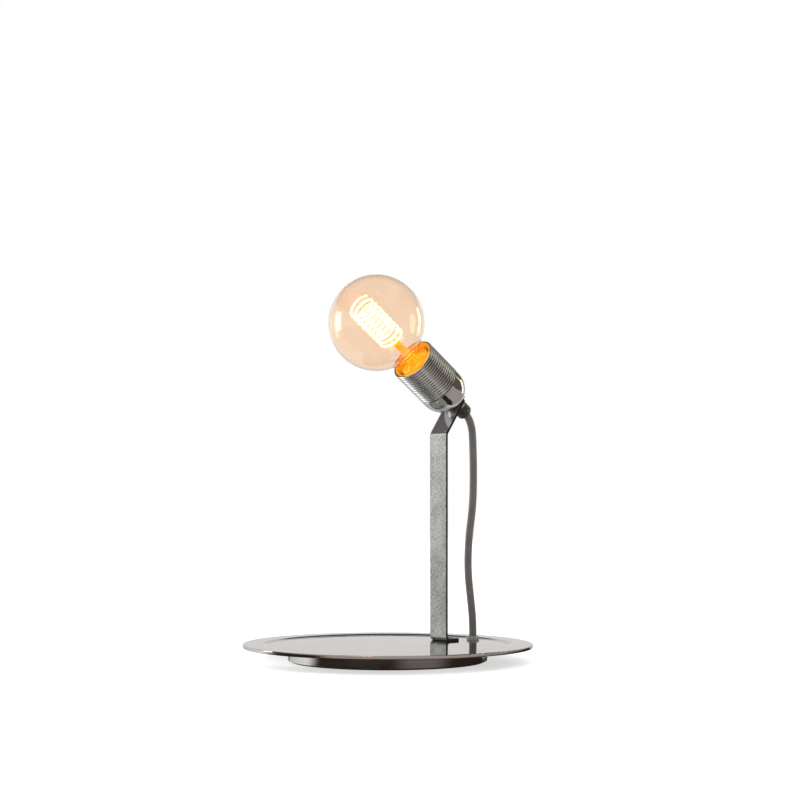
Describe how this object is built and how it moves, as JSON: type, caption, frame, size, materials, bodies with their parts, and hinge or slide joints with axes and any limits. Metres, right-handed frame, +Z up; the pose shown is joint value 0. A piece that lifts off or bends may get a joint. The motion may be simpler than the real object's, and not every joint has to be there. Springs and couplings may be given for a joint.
{
  "type": "bare bulb table lamp",
  "caption": "Bare bulb table lamp: mirror steel disc base, bent galvanised strap, tilted chrome lampholder, clear globe bulb, lead with switch and plug.",
  "frame": {"origin": "middle of the base's underside, on the table", "axes": "+Z up; the bulb leans towards -Y; the strap stands on the +Y side; +X to the right of someone who looks along +Y"},
  "size_m": [0.3235, 0.2905, 0.3217],
  "materials": {
    "polished_steel": "mirror polish",
    "dark_chrome": "dark mirror plating",
    "galvanised_steel": "mottled zinc",
    "zinc_steel": "bright zinc",
    "brass": "satin",
    "clear_glass": "clear",
    "porcelain": "glazed",
    "glowing_filament": "glowing",
    "black_glass": "gloss",
    "grey_rubber": "soft gloss",
    "dark_sheath": "satin",
    "black_plastic": "satin",
    "felt": "felt",
    "core_sheath": "matte",
    "tin": "satin"
  },
  "bodies": {
    "lamp": {"base_disc": "polished_steel", "plinth_weight": "polished_steel", "plinth_screws": "zinc_steel", "felt_pad": "felt", "grommet": "grey_rubber", "strap": "galvanised_steel", "strap_screws": "zinc_steel", "strap_washers": "zinc_steel", "holder_cap": "dark_chrome", "threaded_sleeve": "dark_chrome", "porcelain_insert": "porcelain", "terminal_screws": "brass", "screw_shell": "brass", "centre_contact": "brass", "nipple": "zinc_steel", "inner_lock_nut": "zinc_steel", "lock_washer": "zinc_steel", "outer_lock_nut": "zinc_steel", "cord_grip": "black_plastic", "grip_screw": "zinc_steel", "inner_leads": "core_sheath", "cord_lead": "dark_sheath", "cord_link": "dark_sheath", "cord_coil": "dark_sheath", "cord_tail": "dark_sheath", "cord_tie": "black_plastic", "switch_base": "black_plastic", "switch_cover": "black_plastic", "switch_contacts": "brass", "switch_cores": "core_sheath", "switch_screws": "zinc_steel", "plug_body": "black_plastic", "plug_pins": "tin"},
    "bulb_slide": {"bulb_insulator": "black_glass"},
    "bulb": {"bulb_cap": "brass", "bulb_contact": "tin", "bulb_glass": "clear_glass", "glass_stem": "clear_glass", "filament_supports": "tin", "filament": "glowing_filament"},
    "rocker": {"switch_rocker": "black_plastic"}
  },
  "joints": [
    {"name": "bulb_travel", "type": "slide", "parent": "lamp", "child": "bulb_slide", "axis": [0, -0.8181, 0.575], "range_m": [0, 0.0182]},
    {"name": "bulb_turn", "type": "hinge", "parent": "bulb_slide", "child": "bulb", "pos_m": [0, 0.07703, 0.21877], "axis": [0, -0.8181, 0.575], "range_deg": [0, 1800]},
    {"name": "rocker_press", "type": "hinge", "parent": "lamp", "child": "rocker", "pos_m": [-0.03494, 0.13105, 0.0092], "axis": [0.6626, 0.749, 0], "range_deg": [0, 16]}
  ],
  "couplings": [
    {"joint": "bulb_travel", "follows": "bulb_turn", "m_per_rad": 0.00057614}
  ]
}
